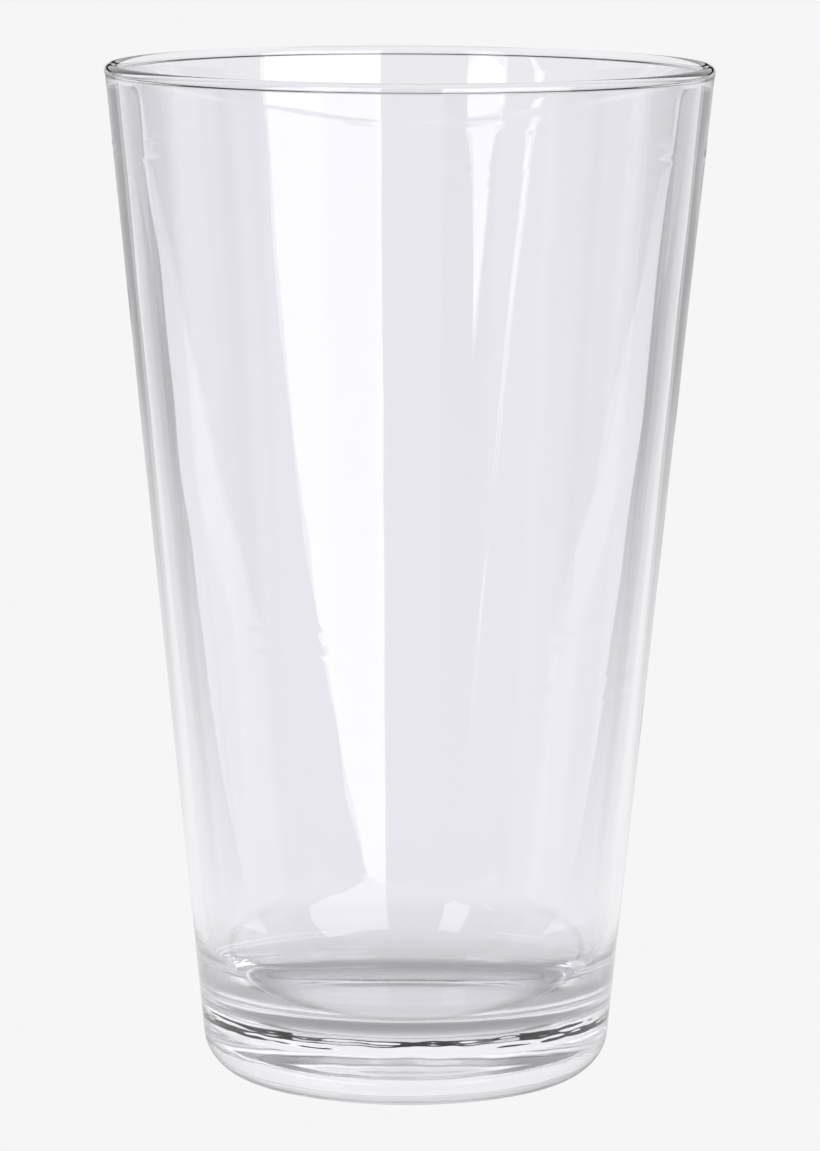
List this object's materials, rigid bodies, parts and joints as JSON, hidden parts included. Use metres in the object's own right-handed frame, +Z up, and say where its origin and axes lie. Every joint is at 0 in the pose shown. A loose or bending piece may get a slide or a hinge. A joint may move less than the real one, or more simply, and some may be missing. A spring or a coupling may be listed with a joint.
{
  "type": "mixing glass",
  "caption": "Conical clear glass tumbler with a rounded rim, a thick solid base, a rounded heel and a shallow dome under the foot, for mixing and stirring drinks.",
  "frame": {"origin": "centre of the foot ring, on the surface that the glass stands on", "axes": "+Z up the glass's axis, out of its mouth; X and Y are any two directions across it"},
  "size_m": [0.0888, 0.0888, 0.1492],
  "materials": {
    "clear_glass": "clear, fire-polished"
  },
  "bodies": {
    "root": {"glass": "clear_glass"}
  },
  "joints": []
}
